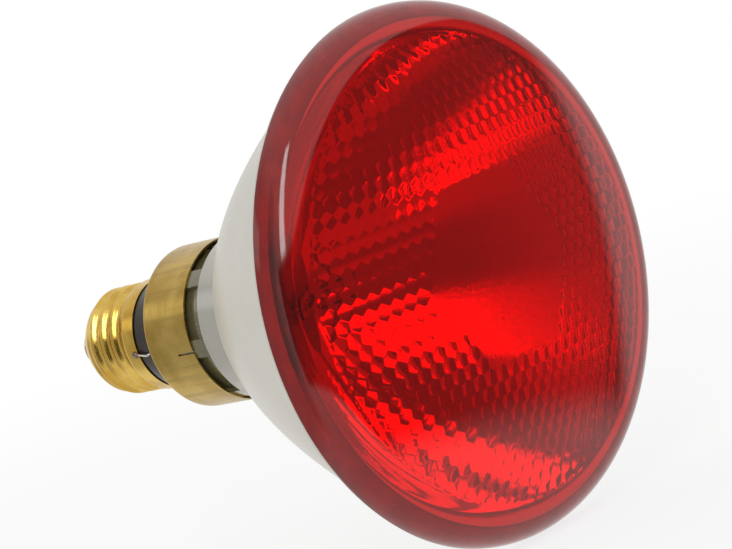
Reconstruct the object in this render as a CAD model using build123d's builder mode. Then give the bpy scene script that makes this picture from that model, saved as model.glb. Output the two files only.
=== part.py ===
"""Infrared reflector lamp with a red pressed-glass lens and a skirted E27 screw cap.

Frame: the lamp axis is the Y axis, the lens faces -Y, the cap points to +Y and +Z is up.
The origin is the centre of the end contact's flat face. A "station" is a distance in
millimetres from that face towards the lens, so a point at station s has y = -s.
Profiles are drawn as (radius, station) and turned about the Y axis.
"""

from build123d import *

import os
from math import cos, hypot, radians, sin, sqrt

os.makedirs("parts", exist_ok=True)

# Overall sizes
RIM_RADIUS = 61.0
CROWN = 136.0  # station of the lens crown, which is the lamp's overall length

# Pressed-glass envelope
SEAM = 119.6  # station where the lens is fused to the bowl
RIM_STATION = 120.1  # widest circle of the lens
LENS_EDGE_RADIUS = 9.6
LENS_WALL = 3.6
LENS_INNER_EDGE_RADIUS = 4.0
OUTER_VERTEX, OUTER_WIDTH = 57.26, 54.3  # paraboloid: radius^2 = width * (station - vertex)
INNER_VERTEX, INNER_WIDTH = 61.0, 52.3
FLANGE_RADIUS, FLANGE_BEVEL = 60.6, 1.4
FLANGE_REAR = 117.4
FLANGE_FOOT_RADIUS = 56.6  # where the back of the flange runs into the paraboloid
MIRROR_SHIFT = 0.45  # the film's two faces are one paraboloid shifted by this much
MIRROR_FRONT_RADIUS, MIRROR_REAR_RADIUS = 54.4, 12.8

# Rear of the bowl
FLOOR_RADIUS = 12.5  # flat floor inside, behind the filament
PLATE_REAR = 60.0  # rear face of the glass plate that carries the ferrules
COLLAR_RADIUS, COLLAR_REAR, COLLAR_ROUND = 20.2, 57.2, 0.8
NECK_RADIUS, NECK_BORE, NECK_REAR = 17.8, 14.8, 42.0
LUG_COUNT, LUG_RADIUS, LUG_WIDTH, LUG_REAR = 7, 19.0, 4.4, 46.0
FIRST_LUG_ANGLE = 187.7
LUG_BITE = 1.0  # how far a lug's block reaches into the neck before it is trimmed

# Lead-throughs
POST_OFFSET, POST_RADIUS = 8.0, 0.8
POST_REAR, POST_FRONT = 45.5, 75.6
NIPPLE_BORE, NIPPLE_RADIUS, NIPPLE_REAR = 3.2, 3.9, 55.0
FERRULE_WALL, FERRULE_REAR, FERRULE_MOUTH = 0.4, 48.0, 59.2
BRAZE_RADIUS, BRAZE_LENGTH, BRAZE_TOE = 2.0, 1.4, 1.1
TUBE_RADIUS, TUBE_BORE, TUBE_SHOULDER = 2.4, 1.5, 48.0
TUBE_TIP, TUBE_TIP_WALL, TUBE_TIP_RADIUS = 44.4, 1.9, 0.7

# Filament and its support
FOCUS = INNER_VERTEX + INNER_WIDTH / 4
COIL_RADIUS, COIL_PITCH, COIL_LENGTH = 0.6, 0.4, 12.0
FILAMENT_WIRE, LEG_WIRE, HOOK_WIRE = 0.12, 0.45, 0.25  # wire radii
LEG_GRIP = 1.2  # length of a leg inside the coil
HOOK_RADIUS, HOOK_OFFSET, HOOK_ROOT = 1.02, 2.5, 0.6
BRIDGE_LENGTH, BRIDGE_WIDTH, BRIDGE_REAR, BRIDGE_FRONT = 21.0, 5.2, 66.8, 69.6
BRIDGE_ROUND, BRIDGE_END_FLAT = 1.0, 0.02

# Cap
SKIRT_RADIUS, SKIRT_WALL, SKIRT_REAR, SKIRT_FRONT = 19.45, 0.4, 38.0, 52.5
SKIRT_OPENING, SKIRT_ROUND = 16.8, 1.0
SLIT_COUNT, SLIT_WIDTH, SLIT_REAR, FIRST_SLIT_ANGLE = 2, 0.5, 47.3, 189.0
RING_BORE, RING_FRONT, RING_FLANGE = 10.5, 41.4, 18.9
RING_THROAT, RING_THROAT_REAR = 16.7, 37.6
RING_SHOULDER, RING_SPIGOT, RING_SPIGOT_REAR = 13.2, 13.1, 24.6
SHELL_WALL = 0.35
SHELL_COLLAR, SHELL_FRONT = 13.5, 28.0
SHELL_REAR, SHELL_TAPER_RADIUS = 6.4, 7.8  # the taper would start from this radius
THREAD_MEAN, THREAD_SWING, THREAD_PITCH = 12.65, 0.5, 3.629  # crest radius is mean + swing
THREAD_PHASE = 0.0  # angle of a crest at station 0
THREAD_SECTIONS = 8  # cross-sections per pitch
TAPER_SPAN, COLLAR_SPAN = (2.8, 11.8), (22.6, 24.4)  # stations
RUN_IN, RUN_OUT = (9.0, 12.5), (21.8, 24.0)  # stations where the thread fades in and out
SHELL_LIP = 8.6
CONTACT_RADIUS, CONTACT_SHEET, CONTACT_HEIGHT = 4.5, 0.45, 1.8
EYELET_RADIUS, END_BORE, END_SEAT_RADIUS, END_SEAT, END_FRONT = 1.6, 1.2, 9.3, 6.8, 9.0
SOLDER_DEPTH = 1.6

# Wiring in the cap
LEAD_WIRE, FUSE_WIRE = 0.25, 0.15  # wire radii
LEAD_BEND = 3.0
LEAD_START, LEAD_TURN, LEAD_MEETS_POST_LINE, FUSE_REAR = 0.6, 14.0, 24.0, 30.0
SLEEVE_RADIUS, SLEEVE_BORE, SLEEVE_REAR, SLEEVE_FRONT = 0.8, 0.4, 28.5, 44.5
SIDE_HOLE, SIDE_HOLE_STATION = 0.45, 34.0
SIDE_WIRE_ANGLE = 187.7
SIDE_WIRE_REACH, SIDE_WIRE_DROP, SIDE_WIRE_END, SIDE_BEND = 16.4, 27.9, 27.0, 0.8
SIDE_SOLDER, SOLDER_GAP, SIDE_WIRE_GAP = 0.85, 0.02, 0.03

PROFILE = Plane(origin=(0, 0, 0), x_dir=(1, 0, 0), z_dir=(0, 0, -1))
LENSWARD = (0, -1, 0)


def across(station):
    """The plane square to the lamp axis at a station; its local Y is +Z."""
    return Plane(origin=(0, -station, 0), x_dir=(1, 0, 0), z_dir=LENSWARD)


def side_point(radius, station):
    """A point at the side wire's angle."""
    angle = radians(SIDE_WIRE_ANGLE)
    return (radius * cos(angle), -station, radius * sin(angle))


def profile_beside(offset):
    """The profile plane moved sideways, for pieces turned about a lead post."""
    return Plane(origin=(offset, 0, 0), x_dir=(1, 0, 0), z_dir=(0, 0, -1))


def axis_beside(offset):
    """The line parallel to the lamp axis that a lead post lies on."""
    return Axis((offset, 0, 0), (0, 1, 0))


def on_paraboloid(width, vertex, radius):
    """The profile point of a paraboloid at a radius."""
    return (radius, vertex + radius**2 / width)


def paraboloid_line(width, vertex, first, last):
    """The exact parabola between two radii, as a quadratic Bezier curve."""
    middle = ((first + last) / 2, vertex + first * last / width)
    return Bezier(on_paraboloid(width, vertex, first), middle, on_paraboloid(width, vertex, last))


def ease(place, start, end):
    """Rises smoothly from 0 to 1 between two places."""
    share = min(max((place - start) / (end - start), 0), 1)
    return share * share * (3 - 2 * share)


def outline(*points):
    """A closed straight-sided sketch of (radius, station) points, ready to turn about the axis."""
    with BuildSketch(PROFILE) as sketch:
        with BuildLine():
            Polyline(*points, close=True)
        make_face()
    return sketch.sketch


def finish(builder, label):
    """Names a finished piece and writes its file."""
    builder.part.label = label
    export_step(builder.part, f"parts/{label}.step")


# Lens --------------------------------------------------------------------------------------
# Outside, a shallow sphere runs into the rim through an edge rounding that touches both.

edge_centre = RIM_RADIUS - LENS_EDGE_RADIUS
crown_height = CROWN - RIM_STATION
dome_radius = (edge_centre**2 + crown_height**2 - LENS_EDGE_RADIUS**2) / (
    2 * (crown_height - LENS_EDGE_RADIUS)
)
dome_centre = CROWN - dome_radius
seam_bore = sqrt(INNER_WIDTH * (SEAM - INNER_VERTEX))
inner_dome_radius = dome_radius - LENS_WALL
inner_edge_centre = seam_bore - LENS_INNER_EDGE_RADIUS
inner_edge_station = dome_centre + sqrt(
    (inner_dome_radius - LENS_INNER_EDGE_RADIUS) ** 2 - inner_edge_centre**2
)


def dome_meets_edge(sphere_radius, centre_radius, centre_station):
    """The profile point where a dome about the dome centre touches its edge rounding."""
    reach = hypot(centre_radius, centre_station - dome_centre)
    share = sphere_radius / reach
    return (centre_radius * share, dome_centre + (centre_station - dome_centre) * share)


outer_join = dome_meets_edge(dome_radius, edge_centre, RIM_STATION)
inner_join = dome_meets_edge(inner_dome_radius, inner_edge_centre, inner_edge_station)

with BuildPart() as lens:
    with BuildSketch(PROFILE):
        with BuildLine():
            outer_edge = TangentArc((RIM_RADIUS, RIM_STATION), outer_join, tangent=(0, 1))
            TangentArc(outer_join, (0, CROWN), tangent=outer_edge % 1)
            Line((0, CROWN), (0, CROWN - LENS_WALL))
            inner_dome = TangentArc((0, CROWN - LENS_WALL), inner_join, tangent=(1, 0))
            TangentArc(inner_join, (seam_bore, inner_edge_station), tangent=inner_dome % 1)
            Polyline(
                (seam_bore, inner_edge_station),
                (seam_bore, SEAM),
                (RIM_RADIUS - (RIM_STATION - SEAM), SEAM),
                (RIM_RADIUS, RIM_STATION),
            )
        make_face()
    revolve(axis=Axis.Y)
finish(lens, "lens")

# Reflector bowl ----------------------------------------------------------------------------
# One pressing: flange, paraboloid, rear collar, neck, locking lugs and two ferrule nipples.

floor_station = on_paraboloid(INNER_WIDTH, INNER_VERTEX, FLOOR_RADIUS)[1]
collar_front = on_paraboloid(OUTER_WIDTH, OUTER_VERTEX, COLLAR_RADIUS)

with BuildPart() as reflector_bowl:
    with BuildSketch(PROFILE):
        with BuildLine():
            paraboloid_line(OUTER_WIDTH, OUTER_VERTEX, COLLAR_RADIUS, FLANGE_FOOT_RADIUS)
            Polyline(
                on_paraboloid(OUTER_WIDTH, OUTER_VERTEX, FLANGE_FOOT_RADIUS),
                (FLANGE_RADIUS - FLANGE_BEVEL, FLANGE_REAR),
                (FLANGE_RADIUS, FLANGE_REAR + FLANGE_BEVEL),
                (FLANGE_RADIUS, SEAM),
                (seam_bore, SEAM),
            )
            paraboloid_line(INNER_WIDTH, INNER_VERTEX, seam_bore, FLOOR_RADIUS)
            Polyline(
                (FLOOR_RADIUS, floor_station),
                (0, floor_station),
                (0, PLATE_REAR),
                (NECK_BORE, PLATE_REAR),
                (NECK_BORE, NECK_REAR),
                (NECK_RADIUS, NECK_REAR),
                (NECK_RADIUS, COLLAR_REAR),
                (COLLAR_RADIUS - COLLAR_ROUND, COLLAR_REAR),
            )
            RadiusArc(
                (COLLAR_RADIUS - COLLAR_ROUND, COLLAR_REAR),
                (COLLAR_RADIUS, COLLAR_REAR + COLLAR_ROUND),
                COLLAR_ROUND,
            )
            Line((COLLAR_RADIUS, COLLAR_REAR + COLLAR_ROUND), collar_front)
        make_face()
    revolve(axis=Axis.Y)
    with BuildSketch(across(LUG_REAR)):
        with PolarLocations(NECK_RADIUS, LUG_COUNT, start_angle=FIRST_LUG_ANGLE):
            Rectangle(2 * (LUG_RADIUS - NECK_RADIUS) + LUG_BITE, LUG_WIDTH)
        Circle(LUG_RADIUS, mode=Mode.INTERSECT)
    extrude(amount=COLLAR_REAR - LUG_REAR)
    with BuildSketch(across(NIPPLE_REAR)):
        with Locations((-POST_OFFSET, 0), (POST_OFFSET, 0)):
            Circle(NIPPLE_RADIUS)
    extrude(amount=PLATE_REAR - NIPPLE_REAR)
    with BuildSketch(across(NIPPLE_REAR)):
        with Locations((-POST_OFFSET, 0), (POST_OFFSET, 0)):
            Circle(NIPPLE_BORE)
        Circle(TUBE_RADIUS)
    extrude(amount=floor_station - NIPPLE_REAR, mode=Mode.SUBTRACT)
finish(reflector_bowl, "reflector_bowl")

# Mirror coating ----------------------------------------------------------------------------

film_vertex = INNER_VERTEX + MIRROR_SHIFT

with BuildPart() as mirror_coating:
    with BuildSketch(PROFILE):
        with BuildLine():
            glass_side = paraboloid_line(
                INNER_WIDTH, INNER_VERTEX, MIRROR_REAR_RADIUS, MIRROR_FRONT_RADIUS
            )
            lamp_side = paraboloid_line(
                INNER_WIDTH, film_vertex, MIRROR_FRONT_RADIUS, MIRROR_REAR_RADIUS
            )
            Line(glass_side @ 1, lamp_side @ 0)
            Line(lamp_side @ 1, glass_side @ 0)
        make_face()
    revolve(axis=Axis.Y)
finish(mirror_coating, "mirror_coating")

# Lead-throughs: a post, a ferrule and a braze fillet on each side -----------------------------


def build_lead_post(side, label):
    """A straight rod with a cross hole at the focus that holds a filament leg."""
    with BuildPart() as post:
        with BuildSketch(across(POST_REAR)):
            with Locations((side * POST_OFFSET, 0)):
                Circle(POST_RADIUS)
        extrude(amount=POST_FRONT - POST_REAR)
        with BuildSketch(Plane(origin=(0, -FOCUS, 0), x_dir=(0, 1, 0), z_dir=(side, 0, 0))):
            Circle(LEG_WIRE)
        extrude(amount=POST_OFFSET + 2 * POST_RADIUS, mode=Mode.SUBTRACT)
    finish(post, label)


def build_ferrule(side, label):
    """A thin metal thimble that hugs a glass nipple; the post leaves through its floor."""
    offset = side * POST_OFFSET
    with BuildPart() as ferrule:
        with BuildSketch(profile_beside(offset)):
            with BuildLine():
                Polyline(
                    (POST_RADIUS, FERRULE_REAR),
                    (NIPPLE_RADIUS + FERRULE_WALL, FERRULE_REAR),
                    (NIPPLE_RADIUS + FERRULE_WALL, FERRULE_MOUTH),
                    (NIPPLE_RADIUS, FERRULE_MOUTH),
                    (NIPPLE_RADIUS, FERRULE_REAR + FERRULE_WALL),
                    (POST_RADIUS, FERRULE_REAR + FERRULE_WALL),
                    close=True,
                )
            make_face()
        revolve(axis=axis_beside(offset))
    finish(ferrule, label)


def build_post_braze(side, label):
    """The fillet of braze metal behind a ferrule's floor."""
    offset = side * POST_OFFSET
    with BuildPart() as braze:
        with BuildSketch(profile_beside(offset)):
            with BuildLine():
                Polyline(
                    (POST_RADIUS, FERRULE_REAR),
                    (BRAZE_RADIUS, FERRULE_REAR),
                    (BRAZE_TOE, FERRULE_REAR - BRAZE_LENGTH / 2),
                    (POST_RADIUS, FERRULE_REAR - BRAZE_LENGTH),
                    close=True,
                )
            make_face()
        revolve(axis=axis_beside(offset))
    finish(braze, label)


for side, name in ((-1, "left"), (1, "right")):
    build_lead_post(side, f"{name}_lead_post")
    build_ferrule(side, f"{name}_ferrule")
    build_post_braze(side, f"{name}_post_braze")

# Exhaust tube, sealed off at its rear tip ------------------------------------------------------

with BuildPart() as exhaust_tube:
    section = outline(
        (0, TUBE_TIP + TUBE_TIP_WALL),
        (TUBE_BORE, TUBE_SHOULDER + TUBE_TIP_WALL / 2),
        (TUBE_BORE, floor_station),
        (TUBE_RADIUS, floor_station),
        (TUBE_RADIUS, TUBE_SHOULDER),
        (TUBE_TIP_RADIUS, TUBE_TIP + TUBE_TIP_RADIUS),
        (0, TUBE_TIP),
    )
    revolve(section, axis=Axis.Y)
finish(exhaust_tube, "exhaust_tube")

# Filament: a straight coil across the focus, held at each end by a leg pushed into it ------------

half_coil = COIL_LENGTH / 2

with BuildPart() as filament:
    with BuildLine():
        coil_path = Helix(
            COIL_PITCH, COIL_LENGTH, COIL_RADIUS, center=(-half_coil, -FOCUS, 0), direction=(1, 0, 0)
        )
    with BuildSketch(Plane(origin=coil_path @ 0, z_dir=coil_path % 0)):
        Circle(FILAMENT_WIRE)
    sweep(path=coil_path, is_frenet=True)
finish(filament, "filament")

with BuildPart() as filament_legs:
    for outward in (-1, 1):
        inner_end = (outward * (half_coil - LEG_GRIP), -FOCUS, 0)
        with BuildSketch(Plane(origin=inner_end, x_dir=(0, 1, 0), z_dir=(outward, 0, 0))):
            Circle(LEG_WIRE)
        extrude(amount=POST_OFFSET + POST_RADIUS + LEG_GRIP / 2 - (half_coil - LEG_GRIP))
finish(filament_legs, "filament_legs")

# Support bridge and the hooks that hold the coil ------------------------------------------------

hook_places = [(-HOOK_OFFSET, HOOK_RADIUS), (HOOK_OFFSET, HOOK_RADIUS)]

with BuildPart() as support_bridge:
    with BuildSketch(across(BRIDGE_REAR)):
        RectangleRounded(BRIDGE_LENGTH, BRIDGE_WIDTH, (BRIDGE_WIDTH - BRIDGE_END_FLAT) / 2)
    extrude(amount=BRIDGE_FRONT - BRIDGE_REAR)
    rims = support_bridge.edges().filter_by(GeomType.LINE, reverse=True).group_by(Axis.Y)
    fillet(rims[0] + rims[-1], BRIDGE_ROUND)
    with BuildSketch(across(BRIDGE_REAR)):
        with Locations((-POST_OFFSET, 0), (POST_OFFSET, 0)):
            Circle(POST_RADIUS)
        with Locations(*hook_places):
            Circle(HOOK_WIRE)
    extrude(amount=BRIDGE_FRONT - BRIDGE_REAR, mode=Mode.SUBTRACT)
finish(support_bridge, "support_bridge")

with BuildPart() as filament_hooks:
    for offset, rise in hook_places:
        root = (offset, -(BRIDGE_REAR + HOOK_ROOT), rise)
        shoulder = (offset, -FOCUS, rise)
        crest = (offset, -(FOCUS + rise), 0)
        tip = (offset, -FOCUS, -rise)
        with BuildLine():
            hook_path = Line(root, shoulder) + ThreePointArc(shoulder, crest, tip)
        with BuildSketch(Plane(origin=root, z_dir=LENSWARD)):
            Circle(HOOK_WIRE)
        sweep(path=hook_path)
finish(filament_hooks, "filament_hooks")

# Skirt: a drawn cup, open towards the glass, slit where it is crimped onto the lugs -------------

with BuildPart() as skirt:
    with BuildSketch(PROFILE):
        with BuildLine():
            Polyline(
                (SKIRT_RADIUS, SKIRT_REAR + SKIRT_ROUND),
                (SKIRT_RADIUS, SKIRT_FRONT),
                (SKIRT_RADIUS - SKIRT_WALL, SKIRT_FRONT),
                (SKIRT_RADIUS - SKIRT_WALL, SKIRT_REAR + SKIRT_ROUND),
            )
            RadiusArc(
                (SKIRT_RADIUS - SKIRT_WALL, SKIRT_REAR + SKIRT_ROUND),
                (SKIRT_RADIUS - SKIRT_ROUND, SKIRT_REAR + SKIRT_WALL),
                SKIRT_ROUND - SKIRT_WALL,
            )
            Polyline(
                (SKIRT_RADIUS - SKIRT_ROUND, SKIRT_REAR + SKIRT_WALL),
                (SKIRT_OPENING, SKIRT_REAR + SKIRT_WALL),
                (SKIRT_OPENING, SKIRT_REAR),
                (SKIRT_RADIUS - SKIRT_ROUND, SKIRT_REAR),
            )
            RadiusArc(
                (SKIRT_RADIUS - SKIRT_ROUND, SKIRT_REAR),
                (SKIRT_RADIUS, SKIRT_REAR + SKIRT_ROUND),
                -SKIRT_ROUND,
            )
        make_face()
    revolve(axis=Axis.Y)
    with BuildSketch(across(SLIT_REAR)):
        with PolarLocations(SKIRT_RADIUS, SLIT_COUNT, start_angle=FIRST_SLIT_ANGLE):
            Rectangle(4 * SKIRT_WALL, SLIT_WIDTH)
    extrude(amount=SKIRT_FRONT - SLIT_REAR, mode=Mode.SUBTRACT)
finish(skirt, "skirt")

# Insulator ring between the skirt and the shell ------------------------------------------------

seat_station = SKIRT_REAR + SKIRT_WALL

with BuildPart() as insulator_ring:
    with BuildSketch(PROFILE):
        with BuildLine():
            Polyline(
                (RING_BORE, RING_SPIGOT_REAR),
                (RING_SPIGOT, RING_SPIGOT_REAR),
                (RING_SPIGOT, SHELL_FRONT),
                (RING_SHOULDER, SHELL_FRONT),
                (RING_THROAT, RING_THROAT_REAR),
                (RING_THROAT, seat_station),
                (RING_FLANGE - SKIRT_ROUND, seat_station),
                (RING_FLANGE, seat_station + SKIRT_ROUND),
                (RING_FLANGE, RING_FRONT),
                (RING_BORE, RING_FRONT),
                close=True,
            )
        make_face()
    revolve(axis=Axis.Y)
    hole_start = Vector(-POST_OFFSET, -SIDE_HOLE_STATION, 0)
    hole_end = Vector(*side_point(SIDE_WIRE_REACH, SIDE_HOLE_STATION))
    with BuildSketch(Plane(origin=hole_start, z_dir=hole_end - hole_start)):
        Circle(SIDE_HOLE)
    extrude(amount=RING_FLANGE, mode=Mode.SUBTRACT)
finish(insulator_ring, "insulator_ring")

# Screw shell ---------------------------------------------------------------------------------
# A rolled Edison thread is round in every cross-section, with the circle's centre carried
# round the axis once per pitch. A loft through such circles is the thread, and letting the
# centre run back to the axis at both ends fades it out.


def shell_radius(station):
    """The shell's mean outer radius: a rounded rear end, the thread and a plain collar."""
    tapered = SHELL_TAPER_RADIUS
    tapered += (THREAD_MEAN - SHELL_TAPER_RADIUS) * ease(station, *TAPER_SPAN)
    return tapered + (SHELL_COLLAR - THREAD_MEAN) * ease(station, *COLLAR_SPAN)


def shell_form(inset, rear):
    """The solid inside the shell's outer face (inset 0) or inside its inner face."""
    count = round((SHELL_FRONT - rear) * THREAD_SECTIONS / THREAD_PITCH)
    with BuildPart() as form:
        for number in range(count + 1):
            station = rear + (SHELL_FRONT - rear) * number / count
            turned = radians(THREAD_PHASE + 360 * station / THREAD_PITCH)
            swing = THREAD_SWING * ease(station, *RUN_IN) * (1 - ease(station, *RUN_OUT))
            with BuildSketch(across(station)):
                with Locations((swing * cos(turned), swing * sin(turned))):
                    Circle(shell_radius(station) - inset)
        loft()
    return form.part


with BuildPart() as screw_shell:
    add(shell_form(0, SHELL_REAR))
    add(shell_form(SHELL_WALL, SHELL_REAR + SHELL_WALL), mode=Mode.SUBTRACT)
    with BuildSketch(across(SHELL_REAR)):
        Circle(SHELL_LIP)
    extrude(amount=2 * SHELL_WALL, mode=Mode.SUBTRACT)
finish(screw_shell, "screw_shell")

# End of the cap: vitreous insulator, eyelet contact and solder ----------------------------------

with BuildPart() as end_insulator:
    section = outline(
        (END_BORE, CONTACT_SHEET),
        (CONTACT_RADIUS - CONTACT_SHEET, CONTACT_SHEET),
        (CONTACT_RADIUS - CONTACT_SHEET, CONTACT_HEIGHT),
        (CONTACT_RADIUS, CONTACT_HEIGHT),
        (SHELL_LIP, SHELL_REAR),
        (SHELL_LIP, END_SEAT),
        (END_SEAT_RADIUS, END_SEAT),
        (END_SEAT_RADIUS, END_FRONT),
        (END_BORE, END_FRONT),
    )
    revolve(section, axis=Axis.Y)
finish(end_insulator, "end_insulator")

with BuildPart() as centre_contact:
    section = outline(
        (EYELET_RADIUS, 0),
        (CONTACT_RADIUS - CONTACT_SHEET / 2, 0),
        (CONTACT_RADIUS, CONTACT_SHEET / 2),
        (CONTACT_RADIUS, CONTACT_HEIGHT),
        (CONTACT_RADIUS - CONTACT_SHEET, CONTACT_HEIGHT),
        (CONTACT_RADIUS - CONTACT_SHEET, CONTACT_SHEET),
        (EYELET_RADIUS, CONTACT_SHEET),
    )
    revolve(section, axis=Axis.Y)
finish(centre_contact, "centre_contact")

# Wiring in the cap ---------------------------------------------------------------------------

with BuildPart() as centre_lead_wire:
    with BuildLine():
        lead_path = FilletPolyline(
            (0, -LEAD_START, 0),
            (0, -LEAD_TURN, 0),
            (POST_OFFSET, -LEAD_MEETS_POST_LINE, 0),
            (POST_OFFSET, -FUSE_REAR, 0),
            radius=LEAD_BEND,
        )
    with BuildSketch(Plane(origin=lead_path @ 0, z_dir=LENSWARD)):
        Circle(LEAD_WIRE)
    sweep(path=lead_path)
finish(centre_lead_wire, "centre_lead_wire")

with BuildPart() as fuse_link:
    with BuildSketch(across(FUSE_REAR)):
        with Locations((POST_OFFSET, 0)):
            Circle(FUSE_WIRE)
    extrude(amount=POST_REAR - FUSE_REAR)
finish(fuse_link, "fuse_link")

with BuildPart() as fuse_sleeve:
    with BuildSketch(across(SLEEVE_REAR)):
        with Locations((POST_OFFSET, 0)):
            Circle(SLEEVE_RADIUS)
            Circle(SLEEVE_BORE, mode=Mode.SUBTRACT)
    extrude(amount=SLEEVE_FRONT - SLEEVE_REAR)
finish(fuse_sleeve, "fuse_sleeve")

with BuildPart() as centre_solder:
    section = outline(
        (0, 0),
        (EYELET_RADIUS, 0),
        (EYELET_RADIUS, CONTACT_SHEET),
        (END_BORE, CONTACT_SHEET),
        (END_BORE, SOLDER_DEPTH),
        (0, SOLDER_DEPTH),
    )
    revolve(section, axis=Axis.Y)
    add(centre_lead_wire.part, mode=Mode.SUBTRACT)
finish(centre_solder, "centre_solder")

# The side wire leaves through the ring's side hole and comes down onto the shell's edge.
side_wire_rest = SHELL_COLLAR + LEAD_WIRE + SIDE_WIRE_GAP

with BuildPart() as side_lead_wire:
    with BuildLine():
        side_path = FilletPolyline(
            (-POST_OFFSET, -POST_REAR, 0),
            (-POST_OFFSET, -SIDE_HOLE_STATION, 0),
            side_point(SIDE_WIRE_REACH, SIDE_HOLE_STATION),
            side_point(side_wire_rest, SIDE_WIRE_DROP),
            side_point(side_wire_rest, SIDE_WIRE_END),
            radius=SIDE_BEND,
        )
    with BuildSketch(Plane(origin=side_path @ 0, z_dir=side_path % 0)):
        Circle(LEAD_WIRE)
    sweep(path=side_path)
finish(side_lead_wire, "side_lead_wire")

with BuildPart() as side_solder:
    with Locations(side_point(SHELL_COLLAR + SOLDER_GAP, SIDE_WIRE_END)):
        Sphere(
            SIDE_SOLDER,
            arc_size1=0,
            rotation=(0, -90 - (SIDE_WIRE_ANGLE - 180), 0),
            align=(Align.CENTER, Align.CENTER, Align.MIN),
        )
    add(side_lead_wire.part, mode=Mode.SUBTRACT)
finish(side_solder, "side_solder")
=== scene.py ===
"""Looks of the infrared reflector lamp: a red faceted lens on a silvered bowl with a brass screw cap."""

import math

import bpy
import numpy as np
from mathutils import Matrix, Vector
from mathutils.geometry import delaunay_2d_cdt


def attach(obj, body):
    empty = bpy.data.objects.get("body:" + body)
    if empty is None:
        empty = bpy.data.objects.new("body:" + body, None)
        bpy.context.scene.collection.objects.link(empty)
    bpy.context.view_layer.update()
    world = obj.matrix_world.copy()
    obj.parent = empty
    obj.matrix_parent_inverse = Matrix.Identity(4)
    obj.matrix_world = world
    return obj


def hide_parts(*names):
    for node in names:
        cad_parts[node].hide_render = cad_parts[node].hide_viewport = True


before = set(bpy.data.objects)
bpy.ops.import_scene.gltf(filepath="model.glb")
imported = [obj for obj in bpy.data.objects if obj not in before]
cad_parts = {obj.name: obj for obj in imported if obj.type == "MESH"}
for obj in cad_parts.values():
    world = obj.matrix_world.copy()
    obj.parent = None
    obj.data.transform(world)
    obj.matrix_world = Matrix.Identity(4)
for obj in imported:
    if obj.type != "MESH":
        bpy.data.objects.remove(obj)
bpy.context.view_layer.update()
scene = bpy.context.scene
MM = 0.001

# ---------------------------------------------------------------- sizes, millimetres
# A station is the distance in front of the end contact; the lens faces -Y.
DOME_RADIUS = 222.4
DOME_CENTRE = -86.4
LENS_WALL = 3.6
EDGE_ROUND = 9.6
EDGE_RING = 51.4
RIM_STATION = 120.1
SEAM_STATION = 119.65  # a hair in front of the bowl's flange, so the two faces don't coincide
INNER_ROUND = 4.0
INNER_RING = 51.36
INNER_STATION = 122.17
PLAIN_CELLS = 6  # cells left out round the middle one, which makes a plain hexagon
LENSLET_PITCH = 3.65
LENSLET_RADIUS = 9.0
LENSLET_REACH = 51.6
CELL_STEPS = 5
SEAM_BAND = 0.03
RING_COUNT = 360
NET_MARGIN = 0.3  # between the cells' points and the ring that closes the field
CREASE = 60.0  # degrees
FLOOR_HALF, FLOOR_LEVEL = 4000.0, -61.3

# ---------------------------------------------------------------- places in the materials, metres
PLAIN_EDGE, PLAIN_SOFT = 0.0201, 0.0003  # half width of the plain hexagon
PARTING_CROWN, PARTING_CURVE, PARTING_SOFT = 0.1335, -2.27, 0.0006  # surface between the lens's two faces
COLLAR_REAR, COLLAR_FULL = 0.0570, 0.0576
FILM_REAR, FILM_FULL = 0.0630, 0.0645
FLOOR_NEAR, FLOOR_FAR = 0.15, 0.60


# ---------------------------------------------------------------- mesh helpers
def piece(name, vertices, faces, material, smooth=True, crease=None):
    """A mesh object in the row frame from points in millimetres."""
    mesh = bpy.data.meshes.new(name)
    mesh.from_pydata([tuple(v * MM for v in p) for p in vertices], [], faces)
    mesh.validate()
    obj = bpy.data.objects.new(name, mesh)
    scene.collection.objects.link(obj)
    mesh.materials.append(material)
    if smooth:
        mesh.shade_smooth()
    if crease is not None:
        mesh.set_sharp_from_angle(angle=math.radians(crease))
    return obj


def arc(centre_station, centre_radius, radius, start, stop, steps):
    """Profile points on an arc; an angle of 0 degrees points forward and 90 away from the axis."""
    angles = np.radians(np.linspace(start, stop, steps))
    return [
        (centre_station + radius * math.cos(a), centre_radius + radius * math.sin(a))
        for a in angles
    ]


def ring_points(station, radius, count):
    """Points on a circle round the lamp's axis."""
    turns = np.linspace(0.0, 2.0 * math.pi, count, endpoint=False)
    return [(radius * math.cos(t), -station, radius * math.sin(t)) for t in turns]


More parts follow.
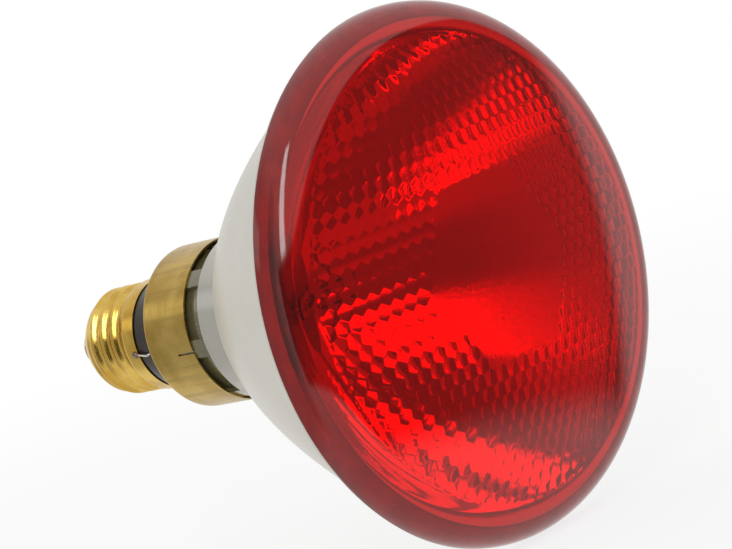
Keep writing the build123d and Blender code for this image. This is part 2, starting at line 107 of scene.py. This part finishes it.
# ---------------------------------------------------------------- node helpers
class Nodes:
    """Short calls for building one node tree."""

    def __init__(self, tree):
        self.tree = tree
        tree.nodes.clear()

    def add(self, kind, links=None, **settings):
        node = self.tree.nodes.new(kind)
        for key, value in settings.items():
            setattr(node, key, value)
        for key, value in (links or {}).items():
            self.feed(node.inputs[key], value)
        return node

    def feed(self, socket, value):
        if isinstance(value, bpy.types.NodeSocket):
            self.tree.links.new(value, socket)
        elif isinstance(value, (tuple, list)) and len(value) == 3 and len(socket.default_value) == 4:
            socket.default_value = (*value, 1.0)
        else:
            socket.default_value = value

    def math(self, operation, *values):
        return self.add("ShaderNodeMath", dict(enumerate(values)), operation=operation).outputs[0]

    def step(self, value, start, stop, low=0.0, high=1.0, shape="SMOOTHSTEP"):
        """Eases from low to high as value goes from start to stop."""
        links = {"Value": value, "From Min": start, "From Max": stop, "To Min": low, "To Max": high}
        return self.add("ShaderNodeMapRange", links, interpolation_type=shape).outputs[0]

    def window(self, value, low, high, soft):
        """One between low and high, falling to zero over soft on both sides."""
        rise = self.step(value, low - soft, low + soft)
        fall = self.step(value, high - soft, high + soft, 1.0, 0.0)
        return self.math("MULTIPLY", rise, fall)

    def mix(self, share, first, second):
        node = self.add("ShaderNodeMix", data_type="RGBA")
        self.feed(node.inputs[0], share)
        self.feed(node.inputs[6], first)
        self.feed(node.inputs[7], second)
        return node.outputs[2]

    def place(self):
        """The point being shaded, in the row frame, in metres."""
        return self.add("ShaderNodeNewGeometry").outputs["Position"]

    def parts(self, vector):
        return self.add("ShaderNodeSeparateXYZ", {0: vector}).outputs

    def join(self, x, y, z):
        return self.add("ShaderNodeCombineXYZ", {0: x, 1: y, 2: z}).outputs[0]

    def noise(self, vector, scale, detail=3.0, rough=0.5):
        links = {"Vector": vector, "Scale": scale, "Detail": detail, "Roughness": rough}
        return self.add("ShaderNodeTexNoise", links).outputs[0]

    def bump(self, height, strength, distance, normal=None):
        links = {"Height": height, "Strength": strength, "Distance": distance}
        if normal is not None:
            links["Normal"] = normal
        return self.add("ShaderNodeBump", links).outputs[0]

    def principled(self, **inputs):
        names = {key.replace("_", " ").title().replace("Ior", "IOR"): v for key, v in inputs.items()}
        return self.add("ShaderNodeBsdfPrincipled", names).outputs[0]

    def surface(self, shader):
        self.add("ShaderNodeOutputMaterial", {"Surface": shader})


def material(name):
    made = bpy.data.materials.new(name)
    made.use_nodes = True
    return made, Nodes(made.node_tree)


def metal(name, dark, light, rough, scale, bump=0.05):
    """A metal with tone and gloss that drift over the surface."""
    made, n = material(name)
    where = n.place()
    drift = n.noise(where, scale)
    fine = n.noise(where, scale * 7.0, 2.0)
    n.surface(n.principled(
        base_color=n.mix(n.step(drift, 0.35, 0.65), dark, light),
        metallic=1.0,
        roughness=n.step(fine, 0.3, 0.7, rough * 0.75, rough * 1.3),
        normal=n.bump(fine, bump, 0.0001),
    ))
    return made


def glass(name, tint, rough=0.02):
    """A clear or tinted glass with faint waves."""
    made, n = material(name)
    waves = n.noise(n.place(), 120.0)
    n.surface(n.principled(
        base_color=n.mix(n.step(waves, 0.3, 0.7), tint, tuple(c * 0.93 for c in tint)),
        roughness=n.step(waves, 0.3, 0.7, rough * 0.6, rough * 1.4),
        ior=1.5,
        transmission_weight=1.0,
        normal=n.bump(waves, 0.04, 0.0004),
    ))
    return made


# ---------------------------------------------------------------- red lens
def red_glass():
    """Red glass with faint waves, its inner face stippled on the plain hexagon."""
    made, n = material("red_glass")
    where = n.place()
    x, y, z = n.parts(where)[0:3]
    width, height = n.math("ABSOLUTE", x), n.math("ABSOLUTE", z)
    slanted = n.math("ADD", n.math("MULTIPLY", width, 0.866), n.math("MULTIPLY", height, 0.5))
    hexagon = n.math("MAXIMUM", height, slanted)
    radius_squared = n.math("ADD", n.math("MULTIPLY", x, x), n.math("MULTIPLY", z, z))
    waves = n.noise(where, 26.0, 2.0)
    grain = n.noise(where, 1500.0, 2.0)
    plain = n.step(hexagon, PLAIN_EDGE - PLAIN_SOFT, PLAIN_EDGE + PLAIN_SOFT, 1.0, 0.0)
    depth = n.math("SUBTRACT", n.math("MULTIPLY", y, -1.0), PARTING_CROWN)
    parting = n.math("SUBTRACT", depth, n.math("MULTIPLY", radius_squared, PARTING_CURVE))
    inside = n.step(parting, 0.0, PARTING_SOFT, 1.0, 0.0)
    stipple = n.math("MULTIPLY", n.math("MULTIPLY", grain, plain), inside)
    normal = n.bump(waves, 0.12, 0.0006, n.bump(stipple, 0.12, 0.0002))
    n.surface(n.principled(
        base_color=n.mix(n.step(waves, 0.3, 0.7), (0.93, 0.014, 0.011), (0.88, 0.011, 0.009)),
        roughness=n.step(n.noise(where, 90.0), 0.3, 0.7, 0.010, 0.035),
        ior=1.52,
        transmission_weight=1.0,
        normal=normal,
    ))
    return made


def fused_seam():
    """The pale ring where the lens is melted onto the bowl, seen red through the glass."""
    made, n = material("fused_seam")
    cloud = n.noise(n.place(), 220.0)
    n.surface(n.principled(
        base_color=n.mix(n.step(cloud, 0.3, 0.7), (0.60, 0.42, 0.40), (0.74, 0.54, 0.52)),
        roughness=0.6,
    ))
    return made


def lenslet_height(x, z):
    """How far the moulded cells stand up from the lens's inner face."""
    row = LENSLET_PITCH * math.sqrt(3.0) / 2.0
    best = np.full(len(x), 1e9)
    ring = np.zeros(len(x))
    for offset in (0, 1):
        line = np.round((z / row - offset) / 2.0) * 2.0 + offset
        shift = offset / 2.0
        place = np.round(x / LENSLET_PITCH - shift) + shift
        reach = (x - place * LENSLET_PITCH) ** 2 + (z - line * row) ** 2
        steps = np.maximum(np.abs(line), np.abs(place) + np.abs(line) / 2.0)
        ring = np.where(reach < best, steps, ring)
        best = np.minimum(best, reach)
    corner = LENSLET_PITCH**2 / 3.0
    height = (corner - best) / (2.0 * LENSLET_RADIUS)
    return np.where((ring > PLAIN_CELLS + 0.1) & (np.hypot(x, z) < LENSLET_REACH), height, 0.0)


def lens_piece():
    """The lens as one closed skin: smooth dome and rounded rim outside, hexagonal cells inside."""
    inner_radius = DOME_RADIUS - LENS_WALL
    tilt_out = math.degrees(math.atan2(EDGE_RING, RIM_STATION - DOME_CENTRE))
    tilt_in = math.degrees(math.atan2(INNER_RING, INNER_STATION - DOME_CENTRE))
    field_edge = inner_radius * math.sin(math.radians(tilt_in))
    spacing = LENSLET_PITCH / math.sqrt(3.0) / CELL_STEPS
    row = spacing * math.sqrt(3.0) / 2.0
    count = int(field_edge / row) + 2
    flat = []
    for i in range(-count, count + 1):
        for j in range(-count, count + 1):
            px, pz = i * row, (j + 0.5 * (i % 2)) * spacing
            if math.hypot(px, pz) < field_edge - NET_MARGIN:
                flat.append((px, pz))
    first_edge = len(flat)
    flat += [(x, z) for x, _, z in ring_points(0, field_edge, RING_COUNT)]
    net = delaunay_2d_cdt([Vector(p) for p in flat], [], [], 0, 1e-5)
    order = {original: k for k, originals in enumerate(net[3]) for original in originals}
    xz = np.array([tuple(v) for v in net[0]])
    r2 = (xz**2).sum(1)
    station = DOME_CENTRE + np.sqrt(inner_radius**2 - r2) - lenslet_height(xz[:, 0], xz[:, 1])
    vertices = [(x, -s, z) for (x, z), s in zip(xz, station)]
    faces = [tuple(f) for f in net[2]]
    a, b, c = (np.array(vertices[i]) for i in faces[0])
    if np.cross(b - a, c - a)[1] < 0:
        faces = [f[::-1] for f in faces]
    profile = arc(INNER_STATION, INNER_RING, INNER_ROUND, tilt_in, 90.0, 14)[1:]
    profile += [(SEAM_STATION, INNER_RING + INNER_ROUND)]
    rim = math.degrees(math.acos((SEAM_STATION - RIM_STATION) / EDGE_ROUND))
    outside = arc(RIM_STATION, EDGE_RING, EDGE_ROUND, rim, tilt_out, 40)
    outside += arc(DOME_CENTRE, 0.0, DOME_RADIUS, tilt_out, 0.0, 60)[1:-1]
    profile += outside
    last = [order[first_edge + k] for k in range(RING_COUNT)]
    for s, r in profile:
        start = len(vertices)
        vertices += ring_points(s, r, RING_COUNT)
        ring = list(range(start, start + RING_COUNT))
        faces += [
            (last[k], last[(k + 1) % RING_COUNT], ring[(k + 1) % RING_COUNT], ring[k])
            for k in range(RING_COUNT)
        ]
        last = ring
    vertices.append((0.0, -(DOME_CENTRE + DOME_RADIUS), 0.0))
    crown = len(vertices) - 1
    faces += [(last[k], last[(k + 1) % RING_COUNT], crown) for k in range(RING_COUNT)]
    made = piece("red_lens", vertices, faces, red_glass(), crease=CREASE)
    made.data.materials.append(fused_seam())
    low, high = -(SEAM_STATION + SEAM_BAND) * MM, -(SEAM_STATION - SEAM_BAND) * MM
    for face in made.data.polygons:
        if all(low < made.data.vertices[v].co.y < high for v in face.vertices):
            face.material_index = 1
    return made


lens = lens_piece()
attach(lens, "root")
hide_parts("lens")


# ---------------------------------------------------------------- bowl
def bowl_finish():
    """Pale satin over the film, glossy milky glass at the collar, and neck and lugs of glass with a dark
    olive-brown tint that is painted shade for the gap inside the skirt.
    """
    made, n = material("bowl_finish")
    where = n.place()
    station = n.math("MULTIPLY", n.parts(where)[1], -1.0)
    cloud = n.noise(where, 35.0)
    grain = n.noise(where, 900.0, 2.0)
    solid = n.step(station, COLLAR_REAR, COLLAR_FULL)
    silvered = n.step(station, FILM_REAR, FILM_FULL)
    tone = n.mix(n.step(cloud, 0.3, 0.7), (0.50, 0.485, 0.43), (0.56, 0.54, 0.475))
    milky = n.mix(n.step(cloud, 0.3, 0.7), (0.62, 0.60, 0.53), (0.72, 0.70, 0.62))
    tone = n.mix(silvered, milky, tone)
    satin = n.mix(silvered, (0.07, 0.07, 0.07), (0.42, 0.42, 0.42))
    clear = n.step(solid, 0.0, 1.0, 0.80, 0.50)
    n.surface(n.principled(
        # painted shade: the neck's olive-brown tint (0.50, 0.43, 0.21) darkens the gap between the collar
        # and the skirt
        base_color=n.mix(solid, (0.50, 0.43, 0.21), tone),
        metallic=n.math("MULTIPLY", silvered, 0.10),
        roughness=n.mix(solid, (0.05, 0.05, 0.05), satin),
        ior=1.5,
        transmission_weight=n.math("MULTIPLY", clear, n.step(silvered, 0.0, 1.0, 1.0, 0.0)),
        coat_weight=n.step(silvered, 0.0, 1.0, 1.0, 0.25),
        coat_roughness=n.step(silvered, 0.0, 1.0, 0.04, 0.16),
        normal=n.bump(n.math("ADD", cloud, n.math("MULTIPLY", grain, 0.1)), 0.10, 0.0004),
    ))
    return made


def brushed_brass():
    """Tarnished brass: fine lines round the axis, darker streaks along it that are painted reflections,
    stains and small dark specks.
    """
    made, n = material("skirt_brass")
    where = n.place()
    x, y, z = n.parts(where)[0:3]
    turn = n.math("ARCTAN2", z, x)
    station = n.math("MULTIPLY", y, -1.0)
    cosine, sine = n.math("COSINE", turn), n.math("SINE", turn)
    spun = n.join(cosine, n.math("MULTIPLY", station, 500.0), sine)
    # painted reflection: a noise stretched along the axis, so the brass darkens in streaks that stand in
    # for reflections of the surroundings
    reflection_streak_place = n.join(
        n.math("MULTIPLY", cosine, 9.0), n.math("MULTIPLY", station, 20.0), n.math("MULTIPLY", sine, 9.0)
    )
    lines = n.noise(spun, 2.0)
    painted_reflection_streaks = n.noise(reflection_streak_place, 1.3, 4.0)
    cloud = n.noise(where, 90.0, 4.0)
    specks = n.step(n.noise(where, 1100.0, 2.0), 0.70, 0.76)
    tone = n.mix(n.step(cloud, 0.35, 0.65), (0.41, 0.26, 0.058), (0.57, 0.395, 0.115))
    # painted reflection: the streaks pull the tone towards dark brass (0.30, 0.22, 0.075)
    tone = n.mix(n.math("MULTIPLY", n.step(painted_reflection_streaks, 0.52, 0.68), 0.45), tone, (0.30, 0.22, 0.075))
    tone = n.mix(n.math("MULTIPLY", specks, 0.35), tone, (0.16, 0.10, 0.04))
    n.surface(n.principled(
        base_color=tone,
        metallic=1.0,
        roughness=n.step(n.math("ADD", lines, cloud), 0.7, 1.3, 0.20, 0.36),
        normal=n.bump(lines, 0.06, 0.0001, n.bump(cloud, 0.10, 0.0006)),
    ))
    return made


def black_insulation():
    """Black enamel with slight unevenness."""
    made, n = material("black_insulator")
    where = n.place()
    cloud = n.noise(where, 160.0)
    n.surface(n.principled(
        base_color=n.mix(n.step(cloud, 0.4, 0.7), (0.006, 0.003, 0.002), (0.022, 0.012, 0.006)),
        roughness=n.step(cloud, 0.3, 0.7, 0.12, 0.30),
        ior=1.15,
        normal=n.bump(n.noise(where, 1100.0), 0.08, 0.0002),
    ))
    return made


def matt(name, dark, light, rough, scale):
    """A dull solid with mottled tone."""
    made, n = material(name)
    where = n.place()
    cloud = n.noise(where, scale)
    n.surface(n.principled(
        base_color=n.mix(n.step(cloud, 0.35, 0.65), dark, light),
        roughness=n.step(cloud, 0.3, 0.7, rough * 0.8, rough * 1.2),
        normal=n.bump(n.noise(where, scale * 5.0), 0.15, 0.0002),
    ))
    return made


FINISHES = {
    "reflector_bowl": bowl_finish(),
    "mirror_coating": metal("mirror_film", (0.84, 0.84, 0.83), (0.90, 0.90, 0.89), 0.035, 60.0, 0.02),
    "filament": metal("tungsten", (0.18, 0.17, 0.17), (0.32, 0.31, 0.30), 0.35, 900.0),
    "filament_legs": metal("tungsten_leg", (0.20, 0.19, 0.19), (0.36, 0.35, 0.34), 0.30, 700.0),
    "filament_hooks": metal("molybdenum", (0.36, 0.36, 0.37), (0.52, 0.52, 0.52), 0.28, 500.0),
    "support_bridge": matt("bead_glass", (0.62, 0.63, 0.60), (0.78, 0.79, 0.76), 0.25, 260.0),
    "left_lead_post": metal("nickel_left", (0.45, 0.44, 0.42), (0.62, 0.61, 0.58), 0.25, 400.0),
    "right_lead_post": metal("nickel_right", (0.45, 0.44, 0.42), (0.62, 0.61, 0.58), 0.25, 400.0),
    "left_ferrule": metal("ferrule_left", (0.50, 0.48, 0.45), (0.66, 0.64, 0.60), 0.30, 300.0),
    "right_ferrule": metal("ferrule_right", (0.50, 0.48, 0.45), (0.66, 0.64, 0.60), 0.30, 300.0),
    "left_post_braze": metal("braze_left", (0.60, 0.42, 0.20), (0.76, 0.58, 0.32), 0.30, 600.0),
    "right_post_braze": metal("braze_right", (0.60, 0.42, 0.20), (0.76, 0.58, 0.32), 0.30, 600.0),
    "exhaust_tube": glass("tube_glass", (0.93, 0.95, 0.93)),
    "skirt": brushed_brass(),
    "insulator_ring": black_insulation(),
    "screw_shell": metal("shell_brass", (0.56, 0.34, 0.055), (0.74, 0.51, 0.125), 0.20, 120.0, 0.12),
    "end_insulator": matt("black_vitrite", (0.012, 0.012, 0.016), (0.035, 0.034, 0.045), 0.18, 300.0),
    "centre_contact": metal("contact_brass", (0.62, 0.46, 0.20), (0.78, 0.62, 0.34), 0.24, 260.0),
    "centre_solder": metal("contact_solder", (0.46, 0.46, 0.46), (0.68, 0.68, 0.67), 0.30, 700.0, 0.3),
    "side_lead_wire": metal("side_wire", (0.55, 0.54, 0.52), (0.74, 0.73, 0.70), 0.22, 900.0),
    "side_solder": metal("side_joint_solder", (0.16, 0.10, 0.085), (0.46, 0.36, 0.33), 0.38, 900.0, 0.3),
    "centre_lead_wire": metal("centre_wire", (0.55, 0.54, 0.52), (0.74, 0.73, 0.70), 0.25, 900.0),
    "fuse_link": metal("fuse_wire", (0.58, 0.58, 0.58), (0.76, 0.76, 0.76), 0.25, 1200.0),
    "fuse_sleeve": matt("glass_fibre", (0.70, 0.68, 0.60), (0.84, 0.82, 0.74), 0.7, 1500.0),
}
for node_name, finish in FINISHES.items():
    node_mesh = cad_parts[node_name].data
    node_mesh.materials.clear()
    node_mesh.materials.append(finish)


# ---------------------------------------------------------------- surroundings
def surroundings():
    """White to the camera, a pale room for reflections and a dimmer one for rays out of the glass."""
    world = bpy.data.worlds.new("studio")
    scene.world = world
    world.use_nodes = True
    n = Nodes(world.node_tree)
    x, y, z = n.parts(n.add("ShaderNodeTexCoord").outputs["Generated"])[0:3]
    across = n.math("DEGREES", n.math("ARCTAN2", x, n.math("MULTIPLY", y, -1.0)))
    up = n.math("DEGREES", n.math("ARCSINE", z))

    def panel(low, high, bottom, top, soft, level):
        """A soft-edged patch of sky between two bearings and two heights, in degrees."""
        patch = n.math("MULTIPLY", n.window(across, low, high, soft), n.window(up, bottom, top, soft))
        return n.math("MULTIPLY", patch, level)

    room = n.math("SUBTRACT", 0.92, panel(-72.0, 71.0, -20.5, 22.0, 2.5, 0.79))
    room = n.math("SUBTRACT", room, panel(-158.0, -80.0, -38.0, 50.0, 8.0, 0.36))
    room = n.math("ADD", room, panel(-160.0, -126.0, 20.0, 33.0, 3.0, 0.75))
    room = n.math("ADD", room, panel(-60.0, -46.0, 24.0, 64.0, 2.5, 7.0))
    through = n.math("SUBTRACT", 0.58, panel(-72.0, 10.0, -24.0, 15.0, 6.0, 0.28))
    leaning = n.math("ADD", across, n.math("MULTIPLY", up, 0.17))
    upper = n.math("MULTIPLY", n.window(leaning, -58.5, 2.0, 2.5), n.window(up, 19.0, 55.0, 2.5))
    lower = panel(-78.0, -55.0, -58.0, -44.5, 2.0, 3.00)
    through = n.math("ADD", n.math("ADD", through, n.math("MULTIPLY", upper, 1.60)), lower)
    path = n.add("ShaderNodeLightPath").outputs
    within = n.math("GREATER_THAN", path["Transmission Depth"], 0.5)
    light = n.step(within, 0.0, 1.0, room, through, shape="LINEAR")
    lit = n.add("ShaderNodeBackground", {"Color": (1.0, 0.995, 0.98), "Strength": light}).outputs[0]
    white = n.add("ShaderNodeBackground", {"Color": (1.0, 1.0, 1.0), "Strength": 1.0}).outputs[0]
    both = n.add("ShaderNodeMixShader", {0: path["Is Camera Ray"], 1: lit, 2: white}).outputs[0]
    n.add("ShaderNodeOutputWorld", {"Surface": both})


def floor_piece():
    """A wide pale floor just under the rim."""
    made, n = material("pale_floor")
    where = n.place()
    x, y = n.parts(where)[0:2]
    away = n.math("SQRT", n.math("ADD", n.math("MULTIPLY", x, x), n.math("MULTIPLY", y, y)))
    far = n.step(away, FLOOR_NEAR, FLOOR_FAR)
    near = n.mix(n.step(n.noise(where, 3.0), 0.3, 0.7), (0.945, 0.945, 0.945), (0.955, 0.955, 0.955))
    colour = n.mix(far, near, (1.0, 1.0, 1.0))
    diffuse = n.add("ShaderNodeBsdfDiffuse", {"Color": colour}).outputs[0]
    glow = n.add("ShaderNodeEmission", {"Color": colour, "Strength": 1.0}).outputs[0]
    own_light = n.step(far, 0.0, 1.0, 0.85, 1.0)
    n.surface(n.add("ShaderNodeMixShader", {0: own_light, 1: diffuse, 2: glow}).outputs[0])
    corners = [
        (x * FLOOR_HALF, y * FLOOR_HALF, FLOOR_LEVEL) for x, y in ((-1, -1), (1, -1), (1, 1), (-1, 1))
    ]
    floor = piece("floor", corners, [(0, 1, 2, 3)], made, smooth=False)
    floor.visible_glossy = False
    floor.visible_transmission = False


surroundings()
floor_piece()

# ---------------------------------------------------------------- camera
camera_data = bpy.data.cameras.new("camera")
camera = bpy.data.objects.new("camera", camera_data)
scene.collection.objects.link(camera)
PLACE = Vector((-0.53984, -0.6077, 0.07906))
FORWARD = Vector((0.7208, 0.68588, -0.1006)).normalized()
RIGHT = Vector((0.6358, -0.71184, -0.2985))
RIGHT = (RIGHT - FORWARD * RIGHT.dot(FORWARD)).normalized()
UP = RIGHT.cross(FORWARD)
camera.matrix_world = Matrix.Translation(PLACE) @ Matrix(
    (RIGHT, UP, -FORWARD)
).transposed().to_4x4()
camera_data.lens = 163.2
camera_data.sensor_width = 36.0
camera_data.clip_start = 0.05
camera_data.clip_end = 50.0
scene.camera = camera

# ---------------------------------------------------------------- picture settings
scene.view_settings.view_transform = "Standard"
scene.view_settings.look = "None"
scene.cycles.max_bounces = 24
scene.cycles.transmission_bounces = 20
scene.cycles.glossy_bounces = 12
scene.cycles.diffuse_bounces = 3
scene.cycles.transparent_max_bounces = 12
scene.cycles.sample_clamp_indirect = 6.0
scene.cycles.use_denoising = True
scene.cycles.denoiser = "OPENIMAGEDENOISE"
